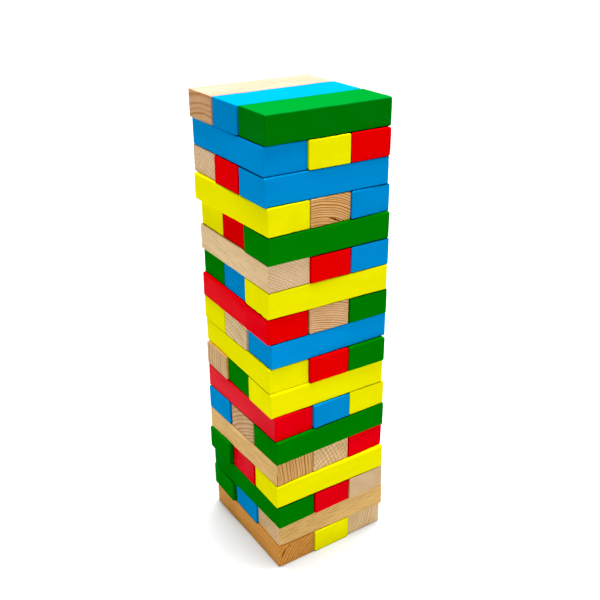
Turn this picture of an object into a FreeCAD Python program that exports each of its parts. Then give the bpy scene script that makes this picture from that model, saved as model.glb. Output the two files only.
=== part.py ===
import FreeCAD, Part
import os

# A giant tumbling tower: 54 loose wooden blocks, three side by side in each of 18 layers,
# with every layer laid across the one below it. Forty blocks are painted and fourteen are bare.
# Units are millimetres. +Z is up, and the origin is on the ground under the middle of the stack.
# +Y points to the back. Seen from the front, the odd layers show three block ends, and the
# even layers show the long side of their front block.

BLOCK_LENGTH = 190.0
BLOCK_WIDTH = 63.0
BLOCK_THICKNESS = 38.0

# The four long edges are rounded, and the rims of the sawn ends are only eased.
# The paint softens both, so they are rounder than the bare wood's.
PAINTED_LONG_EDGE_RADIUS = 2.2
PAINTED_END_RIM_RADIUS = 1.2
BARE_LONG_EDGE_RADIUS = 1.6
BARE_END_RIM_RADIUS = 0.8

# Quarter turn between the grain of one layer and the next.
CROSSING_ANGLE = 90.0

# The places in a layer, in order across it.
PLACES_ALONG_Y = ("left", "centre", "right")
PLACES_ALONG_X = ("front", "middle", "back")

# One line per layer, from the ground up, as a hand-stacked tower really stands:
# colours in order of place,
# how far the middle block sits off the tower's axis, across the layer,
# the two gaps between the three blocks,
# how far each block is pushed along its own length, towards the back or the right,
# and the turn of the whole layer about the tower's axis, in degrees.
LAYERS = (
    (("natural", "yellow", "natural"), 6.0, (1.0, 0.5), (-0.5, -2.5, 0.5), 1.0),
    (("natural", "blue", "green"), -1.0, (0.5, 2.5), (9.0, 5.5, 0.5), -0.25),
    (("green", "red", "natural"), 2.5, (0.5, 0.5), (-2.0, -4.0, -6.0), 2.0),
    (("yellow", "red", "green"), -4.0, (0.5, 3.0), (3.5, 2.0, -4.5), 0.0),
    (("natural", "natural", "red"), 1.0, (0.5, 0.5), (0.5, -0.5, -1.5), 2.0),
    (("green", "natural", "blue"), -3.5, (0.5, 3.0), (1.5, 1.0, -1.0), 1.25),
    (("red", "blue", "yellow"), 1.0, (0.5, 0.5), (0.5, -2.0, -2.0), 1.5),
    (("yellow", "green", "natural"), 0.5, (0.5, 0.5), (-0.5, 1.0, -1.5), -0.25),
    (("yellow", "red", "green"), 0.5, (0.5, 0.5), (3.0, -1.5, -1.5), -1.0),
    (("blue", "natural", "yellow"), 4.0, (2.0, 1.5), (2.5, 0.5, 0.5), -0.25),
    (("red", "natural", "green"), 0.0, (2.5, 1.5), (2.0, 1.5, 0.0), -0.75),
    (("yellow", "blue", "green"), 0.0, (0.5, 1.0), (-0.5, 1.0, 1.0), -1.25),
    (("natural", "red", "blue"), -1.0, (0.5, 0.5), (1.5, -1.0, -1.0), -0.25),
    (("green", "red", "yellow"), -1.0, (0.5, 0.5), (-2.0, 1.0, 1.0), 0.0),
    (("yellow", "natural", "blue"), -4.5, (0.5, 0.5), (2.5, 1.5, -0.5), 1.75),
    (("blue", "red", "natural"), 4.5, (2.5, 3.0), (-4.5, -5.0, -2.5), 0.0),
    (("blue", "yellow", "red"), -3.5, (0.5, 0.5), (4.5, 1.5, 1.5), -0.25),
    (("green", "blue", "natural"), 3.5, (1.0, 2.5), (-3.5, -5.0, -5.5), 0.75),
)

UP = FreeCAD.Vector(0, 0, 1)
ORIGIN = FreeCAD.Vector(0, 0, 0)


def rounded_block(long_edge_radius, end_rim_radius):
    """One block centred on the origin, its grain along X, with its long edges and rims rounded."""
    corner = FreeCAD.Vector(-BLOCK_LENGTH / 2, -BLOCK_WIDTH / 2, -BLOCK_THICKNESS / 2)
    block = Part.makeBox(BLOCK_LENGTH, BLOCK_WIDTH, BLOCK_THICKNESS, corner)
    long_edges = [edge for edge in block.Edges if edge.BoundBox.XLength > BLOCK_LENGTH / 2]
    block = block.makeFillet(long_edge_radius, long_edges)
    rim_edges = [edge for edge in block.Edges if edge.BoundBox.XLength < BLOCK_LENGTH / 2]
    return block.makeFillet(end_rim_radius, rim_edges)


def places_across(middle, gaps):
    """Where the three blocks of a layer sit across it: the middle one, and one each side."""
    first = middle - BLOCK_WIDTH - gaps[0]
    third = middle + BLOCK_WIDTH + gaps[1]
    return first, middle, third


def layer_blocks(number, layer):
    """The three placed blocks of one layer, by name. Layer 1 stands on the ground."""
    colours, middle, gaps, pushes, turn = layer
    grain_along_y = number % 2 == 1
    names = PLACES_ALONG_Y if grain_along_y else PLACES_ALONG_X
    height = (number - 0.5) * BLOCK_THICKNESS
    blocks = {}
    for place, colour, across, push in zip(names, colours, places_across(middle, gaps), pushes):
        if colour == "natural":
            block = rounded_block(BARE_LONG_EDGE_RADIUS, BARE_END_RIM_RADIUS)
        else:
            block = rounded_block(PAINTED_LONG_EDGE_RADIUS, PAINTED_END_RIM_RADIUS)
        if grain_along_y:
            block.rotate(ORIGIN, UP, CROSSING_ANGLE)
            block.translate(FreeCAD.Vector(across, push, height))
        else:
            block.translate(FreeCAD.Vector(push, across, height))
        block.rotate(ORIGIN, UP, turn)
        blocks[f"layer_{number:02d}_{place}_{colour}"] = block
    return blocks


os.makedirs("parts", exist_ok=True)
for number, layer in enumerate(LAYERS, start=1):
    for name, block in layer_blocks(number, layer).items():
        block.exportStep(f"parts/{name}.step")
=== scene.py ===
import math
from collections import namedtuple

import bpy
import numpy as np
from mathutils import Matrix, Vector


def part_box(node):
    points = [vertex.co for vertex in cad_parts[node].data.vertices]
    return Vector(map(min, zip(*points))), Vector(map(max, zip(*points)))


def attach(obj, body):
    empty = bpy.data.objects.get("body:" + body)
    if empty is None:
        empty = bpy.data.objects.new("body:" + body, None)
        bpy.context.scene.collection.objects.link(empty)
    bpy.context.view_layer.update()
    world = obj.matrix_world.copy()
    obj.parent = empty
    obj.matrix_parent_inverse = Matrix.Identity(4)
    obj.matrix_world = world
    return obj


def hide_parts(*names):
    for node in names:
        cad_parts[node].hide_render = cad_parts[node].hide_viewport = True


# A giant tumbling tower. Each of its 54 wooden blocks is one piece, built on the place and size
# of its CAD block, with eased edges, growth rings that stand proud by a hair, and small dents.
# Lengths are in metres unless a name ends in _MM.

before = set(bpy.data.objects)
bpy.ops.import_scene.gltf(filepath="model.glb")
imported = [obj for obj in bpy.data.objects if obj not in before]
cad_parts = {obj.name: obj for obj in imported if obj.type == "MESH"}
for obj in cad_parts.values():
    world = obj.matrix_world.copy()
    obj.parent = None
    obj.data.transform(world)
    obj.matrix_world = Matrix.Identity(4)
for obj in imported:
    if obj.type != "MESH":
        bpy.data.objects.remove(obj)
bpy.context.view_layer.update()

MM = 0.001
UP = Vector((0, 0, 1))

# ---------------------------------------------------------------- block shape
# Every surface stays this far inside the CAD block, so that neighbours never rub.
SHY_MM = 0.05
# Mesh spacing along the grain and across it, on bare wood and on painted wood.
ALONG_STEP_MM = 6.0
BARE_STEP_MM = 0.9
PAINTED_STEP_MM = 1.6
# Radius of the four long edges and of the rims of the two ends, on bare and on painted wood.
BARE_RADII_MM = (1.6, 0.8)
PAINTED_RADII_MM = (2.2, 1.2)
# Steps in half of a rounded edge.
ARC_STEPS = 4
# Depth of the soft wood between two growth rings, on the sawn ends and on the planed sides.
END_RELIEF_MM = 0.16
SIDE_RELIEF_MM = 0.05
PAINT_RELIEF_SHARE = 0.5
# How far the painted shade along an edge reaches onto the face that it rolls into, and the gap to the
# neighbouring block below which that painted shade is full and above which there is none.
SEAM_MM = 0.3
SEAM_GAP_MM = (0.4, 1.0)
# Blocks whose boxes come this close are neighbours.
NEIGHBOUR_MM = 4.0
# How deep a crack on an end is.
CRACK_DEPTH_MM = 0.4
# How much the edge radius wanders along an edge, in long waves and in short ones.
RADIUS_WANDER = 0.22
WANDER_MM = 60
RADIUS_RIPPLE = 0.1
RIPPLE_MM = 14
# Dents along the edges and corners of one block: how many, how wide and how deep.
DENTS = 7
DENT_WIDTH_MM = (1.5, 4.5)
DENT_DEPTH_MM = (0.1, 0.45)
# A dent counts distance along the grain as this much of distance across it, so it is longer.
DENT_STRETCH = (0.6, 1.0, 1.0)
# Where an edge is rounded enough to be dented: 0 on the faces and 1 in the middle of the edge.
DENTED_EDGE = 0.6
# How squarely the skin faces along the grain where the end begins, and how much more it takes
# until it is all end.
END_FACING = 0.35
END_BLEND = 0.5
# Shares of a ring: the flat early wood, and the rise after it to the late wood.
EARLY_WOOD = 0.3
LATE_RISE = 0.6
# How far the pith may lean along the block, in mm for each mm.
PITH_LEAN = 0.02
# Rings bend in waves of these lengths, four times as long along the grain.
RING_BEND_MM = (24, 8)
RING_STRETCH = (0.25, 1.0, 1.0)
# Wide and narrow rings come and go over these numbers of years.
GROWTH_CYCLES = (2.7, 4.3, 7.1)
# Every block draws its own chances, from this seed and its number.
FIRST_SEED = 1000

# ---------------------------------------------------------------- growth rings
# pith: where the middle of the tree was, seen on the block's near end: across to the right and
# up from the middle of the end, in mm. spacing: from ring to ring, in mm. rings: how dark the
# rings are. uneven: how much their spacing varies. cross: the lines that cross them on the ends:
# their angle in degrees, rising to the right, their spacing in mm, and how dark they are.
# flecks: short dark streaks on the long sides. tone: the wood's own colour, end_tone its ends'
# and dark the rings' and the painted shade on its edges, as 0 to 255 sRGB.
Wood = namedtuple("Wood", "pith spacing rings uneven cross flecks tone end_tone dark")

PALE = (230, 198, 150)
TAN = (231, 188, 118)
HONEY = (226, 168, 96)
AMBER = (228, 160, 76)
BROWN = (204, 155, 134)
PALE_DARK = (160, 116, 64)
TAN_DARK = (152, 94, 20)
AMBER_DARK = (150, 62, 4)

BARE = {
    "layer_18_back_natural":
        Wood((20, -160), 10, 0.75, 0.2, (-80, 5, 0.1), 0.1, BROWN, (205, 161, 118), TAN_DARK),
    "layer_16_back_natural":
        Wood((230, -250), 4.0, 0.55, 0.08, (-48, 4.4, 0.95), 0.1, PALE, (232, 201, 164), PALE_DARK),
    "layer_15_centre_natural":
        Wood((-28, -102), 3.3, 1.2, 0.16, (70, 5, 0.1), 0.2, TAN, (222, 172, 116), TAN_DARK),
    "layer_13_left_natural":
        Wood((-125, -180), 3.6, 0.55, 0.1, (55, 4.6, 0.42), 0.7, PALE, (229, 197, 159), PALE_DARK),
    "layer_11_centre_natural":
        Wood((-55, -210), 3.3, 1.05, 0.08, (78, 2.8, 0.6), 0.1, PALE, (230, 187, 144), TAN_DARK),
    "layer_10_middle_natural":
        Wood((-60, -200), 6.2, 1.0, 0.1, (60, 5, 0.2), 0.1, PALE, (231, 204, 160), PALE_DARK),
    "layer_08_back_natural":
        Wood((-190, 15), 6, 1.05, 0.1, (10, 6, 0.1), 0.1, HONEY, (216, 183, 140), TAN_DARK),
    "layer_06_middle_natural":
        Wood((90, -155), 6, 0.95, 0.18, (-60, 5, 0.1), 0.1, PALE, (207, 170, 130), TAN_DARK),
    "layer_05_left_natural":
        Wood((-170, -15), 4.5, 1.1, 0.28, (5, 6, 0.1), 0.8, TAN, (222, 174, 115), TAN_DARK),
    "layer_05_centre_natural":
        Wood((-190, -90), 5.5, 0.65, 0.15, (28, 8, 0.7), 0.1, TAN, (232, 196, 148), PALE_DARK),
    "layer_03_right_natural":
        Wood((-110, -130), 3.5, 0.2, 0.1, (50, 6, 0.1), 0.1, PALE, (214, 183, 144), PALE_DARK),
    "layer_02_front_natural":
        Wood((260, -150), 5.0, 0.18, 0.1, (-40, 6, 0.1), 1.0, TAN, (232, 196, 149), TAN_DARK),
    # The two lowest bare blocks have their tones lifted as painted light, making up for the floor shadow
    # that dims the bottom layer.
    "layer_01_left_natural":
        Wood((48, -40), 5, 0.75, 0.12, (-30, 7, 0.2), 0.3, AMBER, (218, 158, 82), AMBER_DARK),
    "layer_01_right_natural":
        Wood((-180, 45), 5.5, 0.58, 0.1, (-10, 6, 0.1), 0.1, TAN, (240, 208, 162), PALE_DARK),
}

# Dark cracks on the near ends: where the middle is, across and up, in mm, half the length and
# half the width, and the angle it rises to the right.
CRACKS = {
    "layer_15_centre_natural": ((7, -14.2, 5.0, 1.6, -28), (2, -11.5, 7.0, 0.9, -18),
                                (12, -16.5, 3.5, 1.1, -40)),
    "layer_01_left_natural": ((-23.5, 5.5, 9.0, 1.2, 62), (-14, 14.0, 5.0, 0.8, 30)),
}
# The dark of the cracks, and also of the painted shade along edges that lie against another block.
CRACK_AND_SHADE_TONE = (100, 38, 10)

# tone: the paint's own colour, as 0 to 255 sRGB. shine: the strength of its mirror reflection.
# Third: how dark the painted shade is along an edge that another block touches. Fourth: how light
# the painted highlight on its upper edges is, as a share of its colour.
Paint = namedtuple("Paint", "tone shine seam rubbed")
PAINT = {
    "yellow": Paint((239, 232, 14), 0.012, 0.35, 1.25),
    "red": Paint((231, 12, 26), 0.02, 0.9, 1.25),
    "green": Paint((10, 124, 21), 0.012, 0.9, 0.4),
    "blue": Paint((10, 140, 207), 0.012, 0.9, 1.25),
}
# The lower red blocks come from a batch of a colder red.
CRIMSON = Paint((228, 14, 36), 0.038, 0.9, 1.25)
CRIMSON_LAYERS = 7
# The top green block is painted in a slightly bluer green.
ODD_PAINT = {"layer_18_front_green": Paint((10, 118, 38), 0.012, 0.9, 0.9)}
# Blocks whose coat is a little lighter or darker than the others, as a share of their colour.
COAT = {
    "layer_18_middle_blue": 0.88,
    "layer_14_middle_red": 0.92,
    "layer_14_front_green": 1.04,
    "layer_12_middle_blue": 1.2,
    "layer_10_front_blue": 1.1,
    "layer_08_front_yellow": 1.03,
    "layer_05_right_red": 1.08,
    # These three lowest blocks are lighter as painted light, making up for the floor shadow that dims
    # the bottom of the tower.
    "layer_02_middle_blue": 1.12,
    "layer_02_back_green": 1.12,
    "layer_01_centre_yellow": 1.08,
}

# shown: how far the grain shows through the paint of an end.
Grain = namedtuple("Grain", "pith spacing cross shown")
GRAIN_SHOWN = 0.02
# The grain under the paint is drawn by chance within these: how far the pith is to either side,
# and up or down, the ring spacing, the angle of the crossing lines, and their spacing and strength.
HIDDEN_PITH_ASIDE_MM = 150
HIDDEN_PITH_UP_MM = (60, 150)
HIDDEN_SPACING_MM = (3.0, 6.0)
HIDDEN_CROSS_ANGLE = 60
HIDDEN_CROSS = (5, 0.3)
HIDDEN_UNEVEN = 0.1
# The one end where the paint is thin.
THIN_PAINT = {"layer_12_middle_blue": Grain((-150, -170), 4.8, (48, 4.8, 1.0), 0.7)}


def linear(colour):
    """A 0 to 255 sRGB colour as Blender's linear red, green, blue and alpha."""
    shares = [part / 255 for part in colour]
    return [s / 12.92 if s < 0.04045 else ((s + 0.055) / 1.055) ** 2.4 for s in shares] + [1.0]


# Noise over a block, in features per metre along the grain, across it and up.
FIBRES = (14, 700, 700)
PORES = (60, 2400, 2400)
PATCHES = (9, 45, 45)
STREAKS = (60, 1100, 1100)
PAINTED_FIBRES = (16, 700, 700)
PAINTED_PATCHES = (12, 40, 40)
STIPPLE = (420, 420, 420)
LINE_SWAY = (20, 40, 40)
LINE_BREAKS = (50, 160, 160)
# Nearly all of a noise lies between these.
NOISE_RANGE = (0.3, 0.7)
# How steeply the fibres rise towards a bare block's far end, in degrees.
FIBRE_RISE = 8.0
# Where in a ring its dark line rises, and where it falls again, as shares of the ring.
RING_RISE = (0.42, 0.84)
RING_FALL = (0.86, 1.0)
# How much of the ring lines shows on the planed sides, and how faint the faintest ring is.
SIDE_RINGS = 0.12
FAINT_RING = 0.6
# How much patches, fibres and pores darken and lighten bare wood, and how far its red and blue
# follow, next to its green: darker wood is also warmer.
PATCH_TINT = (0.92, 1.05)
FIBRE_TINT = (0.86, 1.08)
PORE_TINT = (0.93, 1.05)
RED_FOLLOWS = 0.75
BLUE_FOLLOWS = 1.5
# The painted shade on edges that face down and up, and the painted highlight on edges that face up.
PAINTED_EDGE_SHADE = (0.6, 0.08)
PAINTED_EDGE_HIGHLIGHT = 0.6
# The lines that cross the rings: how far they sway and where they fade, as shares of their spacing.
LINE_SWAY_SHARE = 1.4
LINE_FADE = (0.06, 0.2)
# Share of the full dark tone that each kind of mark takes at its strongest.
CROSS_MARK = 0.7
FLECK_MARK = 0.5
# The seam mark is painted shade along edges that lie against another block.
BARE_SEAM_SHADE = 0.6
CRACK_MARK = 0.92
# Paint tones, as shares of the coat: where it is thick, over grain lines and painted edge shade, and for
# the painted shade in a seam against another block.
DEEP_SHARE = 0.8
SHADE_SHARE = 0.3
SEAM_SHADE_SHARE = 0.08
# How far patches, fibres and stipple deepen the paint, and how much greyer the painted highlight on an
# edge is.
PATCH_DEEPENS = 0.25
FIBRE_DEEPENS = 0.3
STIPPLE_DEEPENS = 0.2
HIGHLIGHT_GREY = 0.02
# Roughness of the sides, how much rougher the ends are, and the mirror reflection of bare wood.
BARE_ROUGHNESS = (0.5, 0.62)
BARE_END_ROUGHER = 0.2
BARE_SHINE = 0.12
PAINT_ROUGHNESS = (0.4, 0.52)
PAINTED_END_ROUGHER = 0.1
# Depth and strength of the finest relief, and its parts next to the height of the fibres.
BUMP_DEPTH = 0.15 * MM
BARE_BUMP = 0.5
PAINT_BUMP = 0.4
PORE_HEIGHT = 0.7
FLECK_HEIGHT = 0.7
STIPPLE_HEIGHT = 0.6


# ---------------------------------------------------------------- nodes
def add(tree, kind, inputs=None, **settings):
    """A new node, with its settings made and its inputs linked to sockets or set to values."""
    made = tree.nodes.new(kind)
    for name, value in settings.items():
        setattr(made, name, value)
    for key, value in (inputs or {}).items():
        if isinstance(value, bpy.types.NodeSocket):
            tree.links.new(value, made.inputs[key])
        else:
            made.inputs[key].default_value = value
    return made


def math_node(tree, operation, *values, clamp=False):
    """The result of one arithmetic operation on sockets and numbers."""
    inputs = dict(enumerate(values))
    return add(tree, "ShaderNodeMath", inputs, operation=operation, use_clamp=clamp).outputs[0]


def smooth_step(tree, value, low, high, to_low=0.0, to_high=1.0):
    """A smooth turn from one value to another while the input goes from low to high."""
    inputs = {"Value": value, "From Min": low, "From Max": high, "To Min": to_low, "To Max": to_high}
    made = add(tree, "ShaderNodeMapRange", inputs, interpolation_type="SMOOTHSTEP")
    return made.outputs["Result"]


def spread(tree, value, low, high):
    """A noise turned into values from low to high."""
    return smooth_step(tree, value, *NOISE_RANGE, low, high)


def mix_colour(tree, share, first, second, blend="MIX"):
    """Two colours mixed by a share, where each may be a socket or a value."""
    made = add(tree, "ShaderNodeMix", data_type="RGBA", blend_type=blend)
    sockets = {"Factor_Float": share, "A_Color": first, "B_Color": second}
    for socket in made.inputs:
        if socket.identifier in sockets:
            value = sockets[socket.identifier]
            if isinstance(value, bpy.types.NodeSocket):
                tree.links.new(value, socket)
            else:
                socket.default_value = value
    return next(s for s in made.outputs if s.identifier == "Result_Color")


def noise(tree, place, stretch, detail=3.0, roughness=0.55, seed=0.0):
    """Noise over the block, with stretch in features per metre along X, Y and Z."""
    moved = add(tree, "ShaderNodeMapping", {"Vector": place, "Scale": stretch}).outputs[0]
    inputs = {"Vector": moved, "W": seed, "Scale": 1.0, "Detail": detail, "Roughness": roughness}
    return add(tree, "ShaderNodeTexNoise", inputs, noise_dimensions="4D").outputs["Fac"]


def attribute(tree, name):
    """A value that block_mesh stored at each point."""
    return add(tree, "ShaderNodeAttribute", attribute_name=name).outputs["Fac"]


def edge_shares(tree, edge, patches):
    """Painted shade on each edge, mostly the lower ones, and a painted highlight on the upper ones, both
    in patches.
    """
    normal = add(tree, "ShaderNodeTexCoord").outputs["Normal"]
    up = add(tree, "ShaderNodeSeparateXYZ", {"Vector": normal}).outputs["Z"]
    # The edges' painted shade and painted highlight both come and go in patches.
    patchy_edge = math_node(tree, "MULTIPLY", edge, smooth_step(tree, patches, 0.35, 0.65, 0.6, 1.0))
    edge_shade = math_node(tree, "MULTIPLY", patchy_edge, smooth_step(tree, up, -0.5, 0.3, *PAINTED_EDGE_SHADE))
    rubbed = math_node(tree, "MULTIPLY", patchy_edge, smooth_step(tree, up, 0.3, 0.7, 0.0, PAINTED_EDGE_HIGHLIGHT))
    return edge_shade, rubbed


def ring_profile(tree, spacing, seed):
    """0 in a ring's soft early wood, 1 in its dark late wood, and a chance value for each ring."""
    turns = math_node(tree, "DIVIDE", attribute(tree, "ring_mm"), spacing)
    share = math_node(tree, "FRACT", turns)
    number = math_node(tree, "ADD", math_node(tree, "FLOOR", turns), seed)
    white = add(tree, "ShaderNodeTexWhiteNoise", {"W": number}, noise_dimensions="1D")
    chance = white.outputs["Value"]
    rise = smooth_step(tree, share, *RING_RISE)
    fall = smooth_step(tree, share, *RING_FALL, 1.0, 0.0)
    return math_node(tree, "MULTIPLY", rise, fall), chance


def cross_lines(tree, place, cross, seed):
    """1 on the thin lines that cross the growth rings on a sawn end, broken up along the way."""
    angle, spacing, _ = cross
    turn = math.radians(angle)
    across = (0.0, math.sin(turn) / (spacing * MM), math.cos(turn) / (spacing * MM))
    dot = add(tree, "ShaderNodeVectorMath", {0: place, 1: across}, operation="DOT_PRODUCT")
    along = dot.outputs["Value"]
    sway = noise(tree, place, LINE_SWAY, 2.0, 0.5, seed + 17)
    turns = math_node(tree, "MULTIPLY_ADD", sway, LINE_SWAY_SHARE, along)
    share = math_node(tree, "FRACT", turns)
    away = math_node(tree, "ABSOLUTE", math_node(tree, "SUBTRACT", share, 0.5))
    line = smooth_step(tree, away, *LINE_FADE, 1.0, 0.0)
    breaks = noise(tree, place, LINE_BREAKS, 2.0, 0.6, seed + 19)
    broken = smooth_step(tree, breaks, 0.35, 0.55, 0.25, 1.0)
    return math_node(tree, "MULTIPLY", line, broken)


def relief(tree, shader, height, strength):
    """The finest relief, finer than the mesh can hold."""
    inputs = {"Strength": strength, "Distance": BUMP_DEPTH, "Height": height}
    bump = add(tree, "ShaderNodeBump", inputs)
    tree.links.new(bump.outputs["Normal"], shader.inputs["Normal"])


def bare_material(name, wood, seed):
    """Planed pine with sawn ends."""
    material = bpy.data.materials.new(name)
    material.use_nodes = True
    tree = material.node_tree
    shader = tree.nodes["Principled BSDF"]
    place = add(tree, "ShaderNodeTexCoord").outputs["Object"]
    end = attribute(tree, "end")
    edge = attribute(tree, "edge")
    late, chance = ring_profile(tree, wood.spacing, seed)

    strength = smooth_step(tree, chance, 0.0, 1.0, FAINT_RING * wood.rings, wood.rings)
    on_end = smooth_step(tree, end, 0.2, 0.8, SIDE_RINGS, 1.0)
    ring_share = math_node(tree, "MULTIPLY", late, strength)
    ring_share = math_node(tree, "MULTIPLY", ring_share, on_end, clamp=True)

    risen = add(tree, "ShaderNodeVectorRotate", {"Vector": place, "Angle": math.radians(FIBRE_RISE)},
                rotation_type="Y_AXIS").outputs["Vector"]
    fibre = noise(tree, risen, FIBRES, 4.0, 0.65, seed)
    pores = noise(tree, place, PORES, 2.0, 0.5, seed + 3)
    patches = noise(tree, place, PATCHES, 3.0, 0.5, seed + 7)
    streaks = smooth_step(tree, noise(tree, risen, STREAKS, 2.0, 0.6, seed + 11), 0.53, 0.62)
    not_end = math_node(tree, "SUBTRACT", 1.0, end)
    fleck_share = math_node(tree, "MULTIPLY", math_node(tree, "MULTIPLY", streaks, not_end), wood.flecks)
    crossing = math_node(tree, "MULTIPLY", cross_lines(tree, place, wood.cross, seed), wood.cross[2])
    cross_share = math_node(tree, "MULTIPLY", crossing, end)

    base = mix_colour(tree, smooth_step(tree, end, 0.3, 0.7), linear(wood.tone), linear(wood.end_tone))
    shade = spread(tree, patches, *PATCH_TINT)
    fine = spread(tree, fibre, *FIBRE_TINT)
    speck = spread(tree, pores, *PORE_TINT)
    tint = math_node(tree, "MULTIPLY", math_node(tree, "MULTIPLY", shade, fine), speck)
    red = math_node(tree, "MULTIPLY_ADD", tint, RED_FOLLOWS, 1 - RED_FOLLOWS)
    blue = math_node(tree, "MULTIPLY_ADD", tint, BLUE_FOLLOWS, 1 - BLUE_FOLLOWS)
    warm = add(tree, "ShaderNodeCombineColor", {"Red": red, "Green": tint, "Blue": blue}).outputs[0]
    colour = mix_colour(tree, 1.0, base, warm, "MULTIPLY")
    dark = linear(wood.dark)
    colour = mix_colour(tree, ring_share, colour, dark)
    colour = mix_colour(tree, math_node(tree, "MULTIPLY", cross_share, CROSS_MARK), colour, dark)
    colour = mix_colour(tree, math_node(tree, "MULTIPLY", fleck_share, FLECK_MARK), colour, dark)
    # Painted shade on the edges, mostly on those that face down, in the rings' dark tone.
    edge_shade, _ = edge_shares(tree, edge, patches)
    colour = mix_colour(tree, edge_shade, colour, dark)
    # Painted shade along edges that lie against another block.
    seam = math_node(tree, "MULTIPLY", attribute(tree, "seam"), BARE_SEAM_SHADE)
    colour = mix_colour(tree, seam, colour, linear(CRACK_AND_SHADE_TONE))
    split = smooth_step(tree, attribute(tree, "crack"), 0.2, 0.7, 0.0, CRACK_MARK)
    colour = mix_colour(tree, split, colour, linear(CRACK_AND_SHADE_TONE))
    tree.links.new(colour, shader.inputs["Base Color"])

    rough = spread(tree, fibre, *BARE_ROUGHNESS)
    rough = math_node(tree, "MULTIPLY_ADD", end, BARE_END_ROUGHER, rough)
    tree.links.new(rough, shader.inputs["Roughness"])
    shader.inputs["Specular IOR Level"].default_value = BARE_SHINE

    height = math_node(tree, "MULTIPLY_ADD", pores, PORE_HEIGHT, fibre)
    sunk = math_node(tree, "MULTIPLY", fleck_share, FLECK_HEIGHT)
    height = math_node(tree, "SUBTRACT", height, sunk)
    relief(tree, shader, height, BARE_BUMP)
    return material


def paint_material(name, paint, coat, grain, seed):
    """Satin paint on pine: the grain still shows as relief, and a little through the end paint."""
    material = bpy.data.materials.new(name)
    material.use_nodes = True
    tree = material.node_tree
    shader = tree.nodes["Principled BSDF"]
    place = add(tree, "ShaderNodeTexCoord").outputs["Object"]
    end = attribute(tree, "end")
    edge = attribute(tree, "edge")
    late, _ = ring_profile(tree, grain.spacing, seed)

    fibre = noise(tree, place, PAINTED_FIBRES, 4.0, 0.6, seed)
    patches = noise(tree, place, PAINTED_PATCHES, 3.0, 0.5, seed + 5)
    stipple = noise(tree, place, STIPPLE, 3.0, 0.6, seed + 9)

    plain = [part * coat for part in linear(paint.tone)[:3]]
    deep = [part * DEEP_SHARE for part in plain] + [1.0]
    shade = [part * SHADE_SHARE for part in plain] + [1.0]
    gap = [part * SEAM_SHADE_SHARE for part in plain] + [1.0]
    # The tone of the painted highlight on the upper edges.
    highlight_tone = [min(1.0, part * paint.rubbed + HIGHLIGHT_GREY) for part in plain] + [1.0]
    base = mix_colour(tree, spread(tree, patches, 0.0, PATCH_DEEPENS), plain + [1.0], deep)
    base = mix_colour(tree, smooth_step(tree, fibre, 0.5, 0.75, 0.0, FIBRE_DEEPENS), base, deep)
    base = mix_colour(tree, smooth_step(tree, stipple, 0.5, 0.7, 0.0, STIPPLE_DEEPENS), base, deep)
    crossing = cross_lines(tree, place, grain.cross, seed)
    lines = math_node(tree, "MULTIPLY_ADD", crossing, grain.cross[2], late)
    lines = math_node(tree, "MULTIPLY", lines, math_node(tree, "MULTIPLY", end, grain.shown), clamp=True)
    base = mix_colour(tree, lines, base, shade)
    edge_shade, rubbed = edge_shares(tree, edge, patches)
    # Painted shade on the edges, mostly on those that face down.
    base = mix_colour(tree, edge_shade, base, shade)
    # A painted highlight on the edges that face up.
    base = mix_colour(tree, rubbed, base, highlight_tone)
    # Painted shade along edges that lie against another block, in the darkest tone of the paint.
    seam = math_node(tree, "MULTIPLY", attribute(tree, "seam"), paint.seam)
    base = mix_colour(tree, seam, base, gap)
    tree.links.new(base, shader.inputs["Base Color"])

    rough = spread(tree, patches, *PAINT_ROUGHNESS)
    rough = math_node(tree, "MULTIPLY_ADD", end, PAINTED_END_ROUGHER, rough)
    tree.links.new(rough, shader.inputs["Roughness"])
    shader.inputs["Specular IOR Level"].default_value = paint.shine

    height = math_node(tree, "MULTIPLY_ADD", stipple, STIPPLE_HEIGHT, fibre)
    relief(tree, shader, height, PAINT_BUMP)
    return material


# ---------------------------------------------------------------- block mesh
def block_frame(node):
    """Where a CAD block is: its middle, its grain along X and up along Z, and its half sizes."""
    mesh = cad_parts[node].data
    upright = [face for face in mesh.polygons if abs(face.normal.z) < 0.5]
    long_side = max(upright, key=lambda face: face.area)
    grain = long_side.normal.cross(UP).normalized()
    if grain.x + grain.y < 0:
        grain.negate()
    low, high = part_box(node)
    across = UP.cross(grain)
    place = Matrix((grain, across, UP)).transposed().to_4x4()
    place.translation = (low + high) / 2
    inverse = place.inverted()
    corners = [inverse @ vertex.co for vertex in mesh.vertices]
    half = [max(abs(corner[axis]) for corner in corners) for axis in range(3)]
    return place, half


def stations(half, radius, step):
    """Places of the mesh lines along one axis: close together on the two rounded edges."""
    arcs = [math.tan(math.radians(45 * n / ARC_STEPS)) * radius for n in range(ARC_STEPS + 1)]
    flat = half - radius
    open_part = flat - 2 * SEAM_MM
    count = max(2, round(2 * open_part / step))
    inside = [-open_part + 2 * open_part * n / count for n in range(count + 1)]
    return np.array([-flat - arc for arc in reversed(arcs)] + inside + [flat + arc for arc in arcs])


def box_lattice(counts):
    """The lattice points on the skin of a box, and the quads between them, facing out."""
    numbers = -np.ones(counts, int)
    index = np.indices(counts)
    skin = np.zeros(counts, bool)
    for axis, count in enumerate(counts):
        skin |= (index[axis] == 0) | (index[axis] == count - 1)
    numbers[skin] = np.arange(skin.sum())
    quads = []
    for axis in range(3):
        for side in (0, -1):
            sheet = np.take(numbers, side, axis)
            quad = np.stack([sheet[:-1, :-1], sheet[1:, :-1], sheet[1:, 1:], sheet[:-1, 1:]], -1)
            turned = (side == 0) != (axis == 1)
            quad = quad.reshape(-1, 4)
            quads.append(quad[:, ::-1] if turned else quad)
    return np.argwhere(skin), np.concatenate(quads)


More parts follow.
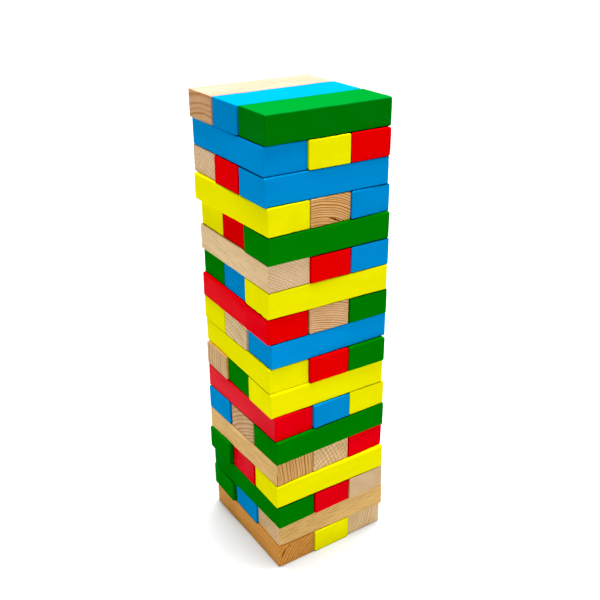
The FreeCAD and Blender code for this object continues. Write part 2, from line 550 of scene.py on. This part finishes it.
def waves(points, rng, length, terms=6):
    """A smooth wandering value between about -1 and 1, with waves about that long."""
    total = np.zeros(len(points))
    for _ in range(terms):
        heading = rng.normal(size=3)
        heading *= 2 * math.pi / (length * rng.uniform(0.7, 1.6) * np.linalg.norm(heading))
        total += np.sin(points @ heading + rng.uniform(0, 2 * math.pi))
    return total / math.sqrt(terms) / 1.2


def ring_field(points, pith, spacing, uneven, rng):
    """Distance from the pith in mm, bent a little and unevenly spaced, as real rings are."""
    slope = rng.uniform(-PITH_LEAN, PITH_LEAN, 2)
    stretched = points * RING_STRETCH
    across = -points[:, 1] - pith[0] - slope[0] * points[:, 0]
    above = points[:, 2] - pith[1] - slope[1] * points[:, 0]
    long_bend, short_bend = RING_BEND_MM
    bend = waves(stretched, rng, long_bend) + 0.5 * waves(stretched, rng, short_bend)
    ring = np.hypot(across, above) + 2.0 * uneven * bend
    for years in GROWTH_CYCLES:
        reach = years * spacing
        ring += uneven * reach / 2 / math.pi * np.sin(2 * math.pi * ring / reach + rng.uniform(0, 6))
    return ring


def crack_field(points, cracks):
    """1 in the middle of a crack on the near end and 0 away from it."""
    total = np.zeros(len(points))
    for across, up, half_length, half_width, angle in cracks:
        turn = math.radians(angle)
        right = -points[:, 1] - across
        above = points[:, 2] - up
        along = (right * math.cos(turn) + above * math.sin(turn)) / half_length
        aside = (above * math.cos(turn) - right * math.sin(turn)) / half_width
        total = np.maximum(total, np.exp(-along ** 2 - aside ** 2))
    return total * (points[:, 0] < 0)


def rounded(cage, half, long_radius, rim_radius):
    """The skin of a box with its long edges rounded, and then its end rims: points and normals."""
    core = half[1:] - long_radius[:, None]
    inner = np.clip(cage[:, 1:], -core, core)
    away = cage[:, 1:] - inner
    reach = np.abs(away).max(axis=1)
    out = away / np.maximum(np.linalg.norm(away, axis=1), 1e-9)[:, None]
    section = inner + out * reach[:, None]

    # how far each point is into the rim, seen from the long faces and from the end
    side = np.clip(rim_radius - (long_radius - reach), 0, None)
    front = np.clip(rim_radius - (half[0] - np.abs(cage[:, 0])), 0, None)
    on_rim = (side > 0) & (front > 0)
    shrink = np.where(on_rim, rim_radius / np.maximum(np.hypot(side, front), 1e-9), 1.0)
    facing = np.sign(cage[:, 0])
    along = cage[:, 0] - facing * front * (1 - shrink)
    section -= out * (side * (1 - shrink))[:, None]
    points = np.column_stack([along, section])
    normal = np.column_stack([facing * front * shrink, out * (side * shrink)[:, None]])
    return points, normal / np.linalg.norm(normal, axis=1)[:, None]


PLACES = {node: block_frame(node) for node in sorted(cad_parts)}
BOXES = {node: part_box(node) for node in PLACES}


def neighbours(node):
    """For each block that lies against this one: the way into its own frame, and its half sizes."""
    low, high = BOXES[node]
    reach = NEIGHBOUR_MM * MM
    found = []
    for other, (place, half) in PLACES.items():
        its_low, its_high = BOXES[other]
        near = all(its_low[axis] - reach < high[axis] and low[axis] - reach < its_high[axis]
                   for axis in range(3))
        if near and other != node:
            found.append((np.array(place.inverted() @ PLACES[node][0]), np.array(half) / MM))
    return found


def seam_shade_field(points, half, radii, beside):
    """Painted shade between blocks: 1 where an edge rolls over close to a neighbouring block, and 0 on
    open edges and faces.
    """
    long_radius, rim_radius = radii
    from_end, from_side, from_top = (half - np.abs(points)).T
    near = (from_end < rim_radius + SEAM_MM)
    near |= (from_side < long_radius + SEAM_MM) & (from_top < long_radius + SEAM_MM)
    seam = np.zeros(len(points))
    full, none = SEAM_GAP_MM
    for into, its_half in beside:
        moved = points @ into[:3, :3].T + into[:3, 3] / MM
        gap = (np.abs(moved) - its_half).max(axis=1)
        seam = np.maximum(seam, 1 - np.clip((gap - full) / (none - full), 0, 1))
    return seam * near


def block_mesh(name, half, radii, step, pith, spacing, uneven, relief, cracks, beside, rng):
    """One block in its own frame: rounded edges that wander, ring relief and a few dents."""
    half = np.array(half) / MM
    long_radius, rim_radius = radii
    axes = [stations(half[0], rim_radius, ALONG_STEP_MM), stations(half[1], long_radius, step),
            stations(half[2], long_radius, step)]
    index, quads = box_lattice([len(line) for line in axes])
    cage = np.stack([axes[axis][index[:, axis]] for axis in range(3)], -1)
    wander = 1 + RADIUS_WANDER * waves(cage, rng, WANDER_MM)
    wander += RADIUS_RIPPLE * waves(cage, rng, RIPPLE_MM)
    points, normal = rounded(cage, half, long_radius * wander, rim_radius * wander)

    end = np.clip((np.abs(normal[:, 0]) - END_FACING) / END_BLEND, 0, 1)
    edge = np.clip((1 - np.abs(normal).max(axis=1)) / (1 - math.sqrt(0.5)), 0, 1)
    ring = ring_field(points, pith, spacing, uneven, rng)
    crack = crack_field(points, cracks) * end
    # Where painted shade goes, along edges that lie against another block.
    seam = seam_shade_field(points, half, radii, beside)
    share = (ring / spacing) % 1.0
    early = 1 - np.clip((share - EARLY_WOOD) / LATE_RISE, 0, 1) ** 2
    depth = SHY_MM + early * relief * (SIDE_RELIEF_MM + (END_RELIEF_MM - SIDE_RELIEF_MM) * end)
    depth += CRACK_DEPTH_MM * crack
    for _ in range(DENTS):
        rim = np.flatnonzero(edge > DENTED_EDGE)
        at = points[rng.choice(rim)]
        width = rng.uniform(*DENT_WIDTH_MM)
        away = np.linalg.norm((points - at) * DENT_STRETCH, axis=1)
        depth += rng.uniform(*DENT_DEPTH_MM) * np.exp(-((away / width) ** 2))
    points -= normal * depth[:, None]

    mesh = bpy.data.meshes.new(name)
    mesh.from_pydata((points * MM).tolist(), [], quads.tolist())
    mesh.shade_smooth()
    for key, values in (("end", end), ("edge", edge), ("ring_mm", ring), ("crack", crack),
                        ("seam", seam)):
        mesh.attributes.new(key, "FLOAT", "POINT").data.foreach_set("value", values.astype(np.float32))
    return mesh


def hidden_grain(rng):
    """The grain of a painted block, drawn by chance."""
    aside = rng.uniform(-HIDDEN_PITH_ASIDE_MM, HIDDEN_PITH_ASIDE_MM)
    up = rng.choice((-1, 1)) * rng.uniform(*HIDDEN_PITH_UP_MM)
    spacing = rng.uniform(*HIDDEN_SPACING_MM)
    angle = rng.uniform(-HIDDEN_CROSS_ANGLE, HIDDEN_CROSS_ANGLE)
    return Grain((aside, up), spacing, (angle, *HIDDEN_CROSS), GRAIN_SHOWN)


def build_block(node, number):
    """The shown piece for one CAD block."""
    colour = node.rsplit("_", 1)[1]
    place, half = PLACES[node]
    layer = int(node.split("_")[1])
    beside = neighbours(node)
    rng = np.random.default_rng(FIRST_SEED + number)
    if colour == "natural":
        wood = BARE[node]
        mesh = block_mesh(node, half, BARE_RADII_MM, BARE_STEP_MM, wood.pith, wood.spacing, wood.uneven,
                          1.0, CRACKS.get(node, ()), beside, rng)
        mesh.materials.append(bare_material(f"bare_{node}", wood, number))
    else:
        batch = CRIMSON if colour == "red" and layer <= CRIMSON_LAYERS else PAINT[colour]
        paint = ODD_PAINT.get(node, batch)
        grain = hidden_grain(rng)
        grain = THIN_PAINT.get(node, grain)
        mesh = block_mesh(node, half, PAINTED_RADII_MM, PAINTED_STEP_MM, grain.pith, grain.spacing,
                          HIDDEN_UNEVEN, PAINT_RELIEF_SHARE, (), beside, rng)
        coat = COAT.get(node, 1.0)
        mesh.materials.append(paint_material(f"painted_{node}", paint, coat, grain, number))
    piece = bpy.data.objects.new(node.replace("layer_", "block_"), mesh)
    bpy.context.scene.collection.objects.link(piece)
    piece.matrix_world = place
    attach(piece, node)
    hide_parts(node)
    return piece


for number, node in enumerate(PLACES):
    build_block(node, number)

# ---------------------------------------------------------------- studio
FLOOR_HALF = 20.0
FLOOR_TONE = (0.478, 0.488, 0.491, 1.0)
FLOOR_ROUGHNESS = 0.5
FLOOR_SHINE = 0.2
# Strength of the even light from all round, and how much brighter the backdrop looks to a camera.
SKY_STRENGTH = 0.12
BACKDROP_EXTRA = 1.1
# The lights: strength, width in degrees, azimuth and elevation.
SUNS = {"overhead": (10.0, 30, 112, 86.8), "fill": (0.35, 90, -15, 20)}


def build_floor():
    """A plain pale floor under the tower."""
    corners = [(-FLOOR_HALF, -FLOOR_HALF, 0), (FLOOR_HALF, -FLOOR_HALF, 0),
               (FLOOR_HALF, FLOOR_HALF, 0), (-FLOOR_HALF, FLOOR_HALF, 0)]
    mesh = bpy.data.meshes.new("floor")
    mesh.from_pydata(corners, [], [(0, 1, 2, 3)])
    material = bpy.data.materials.new("floor")
    material.use_nodes = True
    shader = material.node_tree.nodes["Principled BSDF"]
    shader.inputs["Base Color"].default_value = FLOOR_TONE
    shader.inputs["Roughness"].default_value = FLOOR_ROUGHNESS
    shader.inputs["Specular IOR Level"].default_value = FLOOR_SHINE
    mesh.materials.append(material)
    floor = bpy.data.objects.new("floor", mesh)
    bpy.context.scene.collection.objects.link(floor)


def way_out(azimuth, elevation):
    """The way from the tower to a lamp or camera. Azimuth 0 is the front, and 90 the right."""
    turn, rise = math.radians(azimuth), math.radians(elevation)
    flat = math.cos(rise)
    return Vector((math.sin(turn) * flat, -math.cos(turn) * flat, math.sin(rise)))


def add_sun(name, strength, width_deg, azimuth, elevation):
    """A wide soft light from far away."""
    light = bpy.data.lights.new(name, "SUN")
    light.energy = strength
    light.angle = math.radians(width_deg)
    lamp = bpy.data.objects.new(name, light)
    source = way_out(azimuth, elevation)
    lamp.rotation_euler = source.to_track_quat("Z", "Y").to_euler()
    bpy.context.scene.collection.objects.link(lamp)


def build_world():
    """Even white light, with a brighter backdrop where the camera looks straight at it."""
    world = bpy.data.worlds.new("studio")
    world.use_nodes = True
    tree = world.node_tree
    background = tree.nodes["Background"]
    seen = add(tree, "ShaderNodeLightPath").outputs["Is Camera Ray"]
    strength = math_node(tree, "MULTIPLY_ADD", seen, BACKDROP_EXTRA, SKY_STRENGTH)
    tree.links.new(strength, background.inputs["Strength"])
    background.inputs["Color"].default_value = (1, 1, 1, 1)
    bpy.context.scene.world = world


CAMERA_AZIMUTH = -32.72
CAMERA_ELEVATION = 25.45
CAMERA_DISTANCE = 1.193
CAMERA_AIM = Vector((0.0088, -0.0037, 0.3852))
CAMERA_LENS_MM = 49.28


def build_camera():
    """The camera, looking at the middle of the tower from its azimuth and elevation."""
    data = bpy.data.cameras.new("camera")
    data.lens = CAMERA_LENS_MM
    camera = bpy.data.objects.new("camera", data)
    back = way_out(CAMERA_AZIMUTH, CAMERA_ELEVATION)
    camera.location = CAMERA_AIM + back * CAMERA_DISTANCE
    camera.rotation_euler = back.to_track_quat("Z", "Y").to_euler()
    bpy.context.scene.collection.objects.link(camera)
    bpy.context.scene.camera = camera


# Linear light below this prints as black, as in a crisp studio print.
BLACK_POINT = 0.02


def set_grade():
    """Plain colours with deep blacks."""
    settings = bpy.context.scene.view_settings
    settings.view_transform = "Standard"
    settings.use_curve_mapping = True
    settings.curve_mapping.black_level = (BLACK_POINT, BLACK_POINT, BLACK_POINT)
    settings.curve_mapping.update()


build_floor()
build_world()
for name, settings in SUNS.items():
    add_sun(name, *settings)
build_camera()
set_grade()
